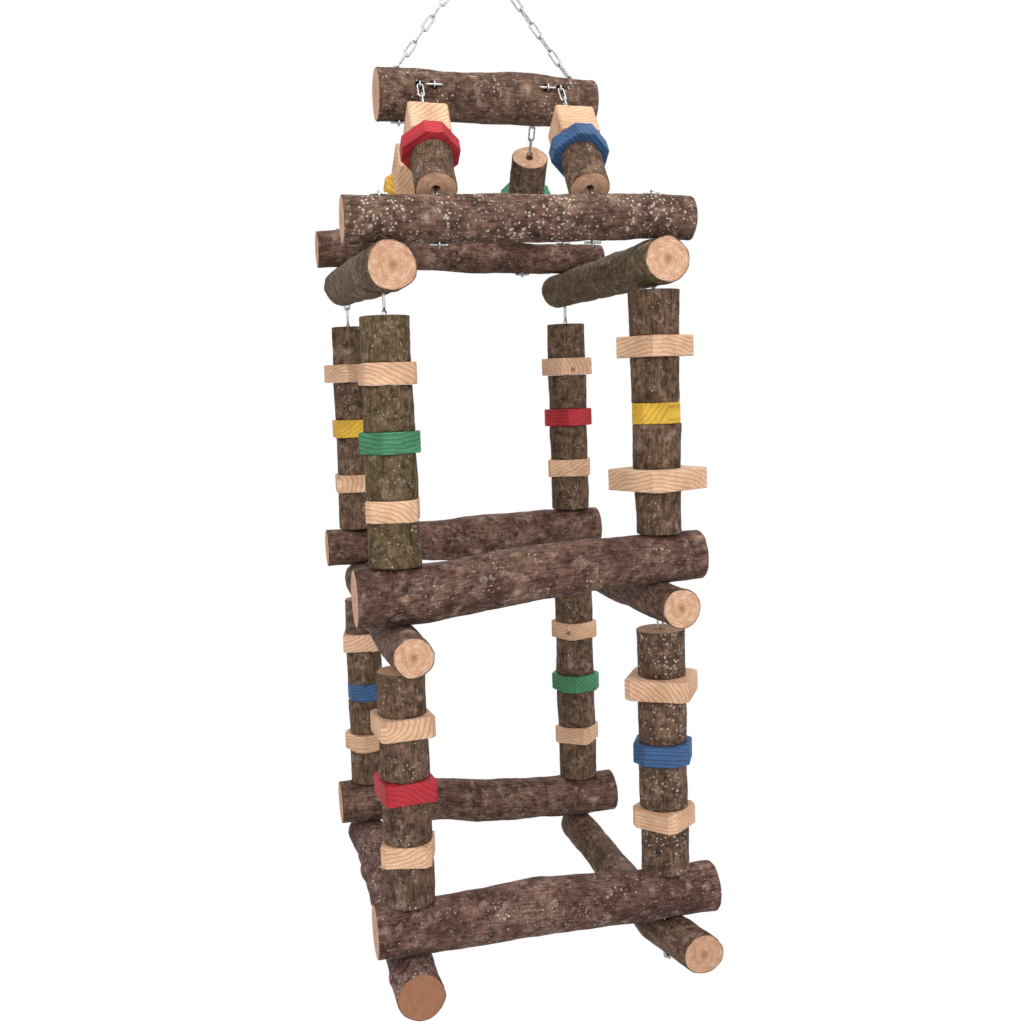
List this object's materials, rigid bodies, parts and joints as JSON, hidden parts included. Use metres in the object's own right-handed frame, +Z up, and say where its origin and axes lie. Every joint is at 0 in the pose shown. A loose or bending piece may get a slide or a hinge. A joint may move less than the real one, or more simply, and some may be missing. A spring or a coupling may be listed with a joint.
{
  "type": "hanging bird climbing tower",
  "caption": "Hanging bird play stand: three square decks of natural branches on corner chains, with sawn posts and threaded blocks, under a short branch slung from a ring.",
  "frame": {"origin": "centre of the hanging ring", "axes": "+X to the right along the front rails, +Y to the back, +Z up"},
  "size_m": [0.417, 0.4558, 1.2439],
  "materials": {
    "bark": "rough bark",
    "pine": "sawn",
    "green_dye": "dyed, matt",
    "yellow_dye": "dyed, matt",
    "red_dye": "dyed, matt",
    "blue_dye": "dyed, matt",
    "steel": "zinc plated"
  },
  "bodies": {
    "ring": {"hanging_ring": "steel"},
    "sling": {"sling_chains": "steel"},
    "header": {"header_branch": "bark", "header_chains": "steel"},
    "legs_left": {"leg_left_logs": "bark", "leg_left_chains": "steel"},
    "legs_right": {"leg_right_logs": "bark", "leg_right_chains": "steel"},
    "top_frame": {"top_front_rail": "bark", "top_back_rail": "bark", "top_left_crossbar": "bark", "top_right_crossbar": "bark", "top_frame_chains": "steel"},
    "upper_front": {"upper_front_left_logs": "bark", "upper_front_right_logs": "bark", "upper_front_chains": "steel"},
    "upper_back": {"upper_back_left_logs": "bark", "upper_back_right_logs": "bark", "upper_back_chains": "steel"},
    "mid_frame": {"mid_front_rail": "bark", "mid_back_rail": "bark", "mid_left_crossbar": "bark", "mid_right_crossbar": "bark", "mid_frame_chains": "steel"},
    "lower_front": {"lower_front_left_logs": "bark", "lower_front_right_logs": "bark", "lower_front_chains": "steel"},
    "lower_back": {"lower_back_left_logs": "bark", "lower_back_right_logs": "bark", "lower_back_chains": "steel"},
    "bottom_frame": {"bottom_front_rail": "bark", "bottom_back_rail": "bark", "bottom_left_crossbar": "bark", "bottom_right_crossbar": "bark", "bottom_frame_chains": "steel"},
    "upper_front_left_green_block": {"upper_front_left_green_block": "green_dye"},
    "upper_front_left_pine_blocks": {"upper_front_left_pine_blocks": "pine"},
    "upper_front_right_yellow_block": {"upper_front_right_yellow_block": "yellow_dye"},
    "upper_front_right_pine_blocks": {"upper_front_right_pine_blocks": "pine"},
    "upper_back_left_yellow_block": {"upper_back_left_yellow_block": "yellow_dye"},
    "upper_back_left_pine_blocks": {"upper_back_left_pine_blocks": "pine"},
    "upper_back_right_red_block": {"upper_back_right_red_block": "red_dye"},
    "upper_back_right_pine_blocks": {"upper_back_right_pine_blocks": "pine"},
    "lower_front_left_red_block": {"lower_front_left_red_block": "red_dye"},
    "lower_front_left_pine_blocks": {"lower_front_left_pine_blocks": "pine"},
    "lower_front_right_blue_block": {"lower_front_right_blue_block": "blue_dye"},
    "lower_front_right_pine_blocks": {"lower_front_right_pine_blocks": "pine"},
    "lower_back_left_blue_block": {"lower_back_left_blue_block": "blue_dye"},
    "lower_back_left_pine_blocks": {"lower_back_left_pine_blocks": "pine"},
    "lower_back_right_green_block": {"lower_back_right_green_block": "green_dye"},
    "lower_back_right_pine_blocks": {"lower_back_right_pine_blocks": "pine"},
    "leg_front_left_red_block": {"leg_front_left_red_block": "red_dye"},
    "leg_front_left_pine_block": {"leg_front_left_pine_block": "pine"},
    "leg_front_right_blue_block": {"leg_front_right_blue_block": "blue_dye"},
    "leg_front_right_pine_block": {"leg_front_right_pine_block": "pine"},
    "leg_back_left_yellow_block": {"leg_back_left_yellow_block": "yellow_dye"},
    "leg_back_left_pine_block": {"leg_back_left_pine_block": "pine"},
    "leg_back_right_green_block": {"leg_back_right_green_block": "green_dye"},
    "leg_back_right_pine_block": {"leg_back_right_pine_block": "pine"}
  },
  "joints": [
    {"name": "sling_swing", "type": "hinge", "parent": "ring", "child": "sling", "pos_m": [0, 0, 0], "axis": [0, 1, 0], "range_deg": [-20, 20]},
    {"name": "header_rock", "type": "hinge", "parent": "sling", "child": "header", "pos_m": [0, 0, -0.14712], "axis": [1, 0, 0], "range_deg": [-10, 10]},
    {"name": "left_legs_sway", "type": "hinge", "parent": "header", "child": "legs_left", "pos_m": [-0.0779, 0, -0.172], "axis": [0, 1, 0], "range_deg": [-3, 3]},
    {"name": "right_legs_sway", "type": "hinge", "parent": "header", "child": "legs_right", "pos_m": [0.0781, 0, -0.172], "axis": [0, 1, 0], "range_deg": [-3, 3]},
    {"name": "top_frame_level", "type": "hinge", "parent": "header", "child": "top_frame", "pos_m": [0.0004, 0, 1.258], "axis": [0, 1, 0], "range_deg": [-0.2775, 0.2775]},
    {"name": "upper_front_swing", "type": "hinge", "parent": "top_frame", "child": "upper_front", "pos_m": [-0.0024, -0.1573, -0.421], "axis": [1, 0, 0], "range_deg": [-5, 5]},
    {"name": "upper_back_swing", "type": "hinge", "parent": "top_frame", "child": "upper_back", "pos_m": [-0.0024, 0.1927, -0.418], "axis": [1, 0, 0], "range_deg": [-5, 5]},
    {"name": "mid_frame_level", "type": "hinge", "parent": "upper_front", "child": "mid_frame", "pos_m": [-0.0024, -0.1573, -0.743], "axis": [1, 0, 0], "range_deg": [-5, 5]},
    {"name": "lower_front_swing", "type": "hinge", "parent": "mid_frame", "child": "lower_front", "pos_m": [-0.0024, -0.1573, -0.822], "axis": [1, 0, 0], "range_deg": [-5, 5]},
    {"name": "lower_back_swing", "type": "hinge", "parent": "mid_frame", "child": "lower_back", "pos_m": [-0.0024, 0.1927, -0.807], "axis": [1, 0, 0], "range_deg": [-5, 5]},
    {"name": "bottom_frame_level", "type": "hinge", "parent": "lower_front", "child": "bottom_frame", "pos_m": [-0.0024, -0.1573, -1.14], "axis": [1, 0, 0], "range_deg": [-5, 5]},
    {"name": "upper_front_left_green_block_spin", "type": "hinge", "parent": "upper_front", "child": "upper_front_left_green_block", "pos_m": [-0.1574, -0.1573, -0.59], "axis": [0, 0, 1], "continuous": true},
    {"name": "upper_front_left_pine_blocks_spin", "type": "hinge", "parent": "upper_front", "child": "upper_front_left_pine_blocks", "pos_m": [-0.1574, -0.1573, -0.59], "axis": [0, 0, 1], "continuous": true},
    {"name": "upper_front_right_yellow_block_spin", "type": "hinge", "parent": "upper_front", "child": "upper_front_right_yellow_block", "pos_m": [0.1526, -0.1573, -0.59], "axis": [0, 0, 1], "continuous": true},
    {"name": "upper_front_right_pine_blocks_spin", "type": "hinge", "parent": "upper_front", "child": "upper_front_right_pine_blocks", "pos_m": [0.1526, -0.1573, -0.59], "axis": [0, 0, 1], "continuous": true},
    {"name": "upper_back_left_yellow_block_spin", "type": "hinge", "parent": "upper_back", "child": "upper_back_left_yellow_block", "pos_m": [-0.1574, 0.1927, -0.59], "axis": [0, 0, 1], "continuous": true},
    {"name": "upper_back_left_pine_blocks_spin", "type": "hinge", "parent": "upper_back", "child": "upper_back_left_pine_blocks", "pos_m": [-0.1574, 0.1927, -0.59], "axis": [0, 0, 1], "continuous": true},
    {"name": "upper_back_right_red_block_spin", "type": "hinge", "parent": "upper_back", "child": "upper_back_right_red_block", "pos_m": [0.1526, 0.1927, -0.59], "axis": [0, 0, 1], "continuous": true},
    {"name": "upper_back_right_pine_blocks_spin", "type": "hinge", "parent": "upper_back", "child": "upper_back_right_pine_blocks", "pos_m": [0.1526, 0.1927, -0.59], "axis": [0, 0, 1], "continuous": true},
    {"name": "lower_front_left_red_block_spin", "type": "hinge", "parent": "lower_front", "child": "lower_front_left_red_block", "pos_m": [-0.1574, -0.1573, -0.98], "axis": [0, 0, 1], "continuous": true},
    {"name": "lower_front_left_pine_blocks_spin", "type": "hinge", "parent": "lower_front", "child": "lower_front_left_pine_blocks", "pos_m": [-0.1574, -0.1573, -0.98], "axis": [0, 0, 1], "continuous": true},
    {"name": "lower_front_right_blue_block_spin", "type": "hinge", "parent": "lower_front", "child": "lower_front_right_blue_block", "pos_m": [0.1526, -0.1573, -0.98], "axis": [0, 0, 1], "continuous": true},
    {"name": "lower_front_right_pine_blocks_spin", "type": "hinge", "parent": "lower_front", "child": "lower_front_right_pine_blocks", "pos_m": [0.1526, -0.1573, -0.98], "axis": [0, 0, 1], "continuous": true},
    {"name": "lower_back_left_blue_block_spin", "type": "hinge", "parent": "lower_back", "child": "lower_back_left_blue_block", "pos_m": [-0.1574, 0.1927, -0.98], "axis": [0, 0, 1], "continuous": true},
    {"name": "lower_back_left_pine_blocks_spin", "type": "hinge", "parent": "lower_back", "child": "lower_back_left_pine_blocks", "pos_m": [-0.1574, 0.1927, -0.98], "axis": [0, 0, 1], "continuous": true},
    {"name": "lower_back_right_green_block_spin", "type": "hinge", "parent": "lower_back", "child": "lower_back_right_green_block", "pos_m": [0.1526, 0.1927, -0.98], "axis": [0, 0, 1], "continuous": true},
    {"name": "lower_back_right_pine_blocks_spin", "type": "hinge", "parent": "lower_back", "child": "lower_back_right_pine_blocks", "pos_m": [0.1526, 0.1927, -0.98], "axis": [0, 0, 1], "continuous": true},
    {"name": "leg_front_left_red_block_spin", "type": "hinge", "parent": "legs_left", "child": "leg_front_left_red_block", "pos_m": [-0.0897, -0.09349, -0.24561], "axis": [0.0482, 0.6543, 0.7547], "continuous": true},
    {"name": "leg_front_left_pine_block_spin", "type": "hinge", "parent": "legs_left", "child": "leg_front_left_pine_block", "pos_m": [-0.0897, -0.09349, -0.24561], "axis": [0.0482, 0.6543, 0.7547], "continuous": true},
    {"name": "leg_front_right_blue_block_spin", "type": "hinge", "parent": "legs_right", "child": "leg_front_right_blue_block", "pos_m": [0.0845, -0.09228, -0.24485], "axis": [0.0358, 0.6654, 0.7456], "continuous": true},
    {"name": "leg_front_right_pine_block_spin", "type": "hinge", "parent": "legs_right", "child": "leg_front_right_pine_block", "pos_m": [0.0845, -0.09228, -0.24485], "axis": [0.0358, 0.6654, 0.7456], "continuous": true},
    {"name": "leg_back_left_yellow_block_spin", "type": "hinge", "parent": "legs_left", "child": "leg_back_left_yellow_block", "pos_m": [-0.0727, 0.11096, -0.24399], "axis": [0.0431, -0.7498, 0.6603], "continuous": true},
    {"name": "leg_back_left_pine_block_spin", "type": "hinge", "parent": "legs_left", "child": "leg_back_left_pine_block", "pos_m": [-0.0727, 0.11096, -0.24399], "axis": [0.0431, -0.7498, 0.6603], "continuous": true},
    {"name": "leg_back_right_green_block_spin", "type": "hinge", "parent": "legs_right", "child": "leg_back_right_green_block", "pos_m": [0.0811, 0.11047, -0.25086], "axis": [-0.0874, -0.719, 0.6895], "continuous": true},
    {"name": "leg_back_right_pine_block_spin", "type": "hinge", "parent": "legs_right", "child": "leg_back_right_pine_block", "pos_m": [0.0811, 0.11047, -0.25086], "axis": [-0.0874, -0.719, 0.6895], "continuous": true}
  ],
  "couplings": [
    {"joint": "right_legs_sway", "follows": "left_legs_sway", "ratio": 1},
    {"joint": "top_frame_level", "follows": "left_legs_sway", "ratio": 0.0925},
    {"joint": "upper_back_swing", "follows": "upper_front_swing", "ratio": 1},
    {"joint": "mid_frame_level", "follows": "upper_front_swing", "ratio": -1},
    {"joint": "lower_back_swing", "follows": "lower_front_swing", "ratio": 1},
    {"joint": "bottom_frame_level", "follows": "lower_front_swing", "ratio": -1}
  ]
}
